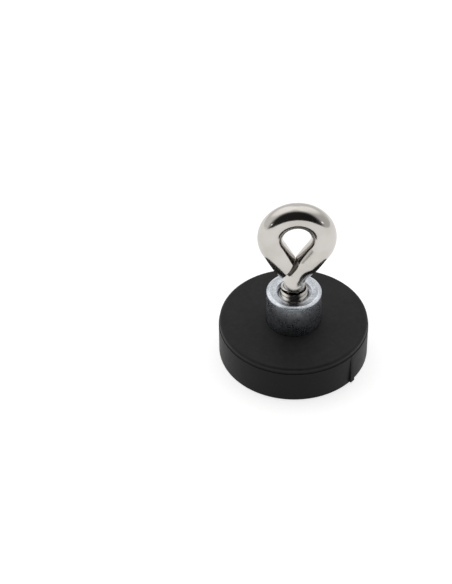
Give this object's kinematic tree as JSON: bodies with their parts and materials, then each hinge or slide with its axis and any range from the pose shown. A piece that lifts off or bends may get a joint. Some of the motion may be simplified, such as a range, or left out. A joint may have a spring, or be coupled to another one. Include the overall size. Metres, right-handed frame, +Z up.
{
  "type": "retrieving magnet with eye",
  "caption": "Round rubber-coated pot magnet with a threaded metal bush and a bent-wire screw eye for a hook or cord, for holding or retrieving small steel things.",
  "frame": {"origin": "centre of the holding face", "axes": "+Z up through the bush and the eye, -Z out of the holding face; the eye's loop lies in the XZ plane, leaned 3.5 degrees back towards +Y"},
  "size_m": [0.022, 0.022, 0.0268],
  "materials": {
    "jacket_rubber": "matt moulded black rubber",
    "plain_steel": "plain mild steel, stamped",
    "zinc_plated_steel": "turned and zinc plated, satin",
    "nickel_plated_steel": "polished nickel plate",
    "magnet_nickel": "nickel-plated sintered magnet"
  },
  "bodies": {
    "magnet": {"rubber_jacket": "jacket_rubber", "back_plate": "plain_steel", "threaded_bush": "zinc_plated_steel", "magnet_1": "magnet_nickel", "magnet_2": "magnet_nickel", "magnet_3": "magnet_nickel", "magnet_4": "magnet_nickel", "magnet_5": "magnet_nickel", "magnet_6": "magnet_nickel"},
    "eye": {"eye_screw": "nickel_plated_steel"}
  },
  "joints": [
    {"name": "eye_turn", "type": "hinge", "parent": "magnet", "child": "eye", "pos_m": [0, 0, 0.0116], "axis": [0, 0, 1], "range_deg": [-180, 180]}
  ]
}
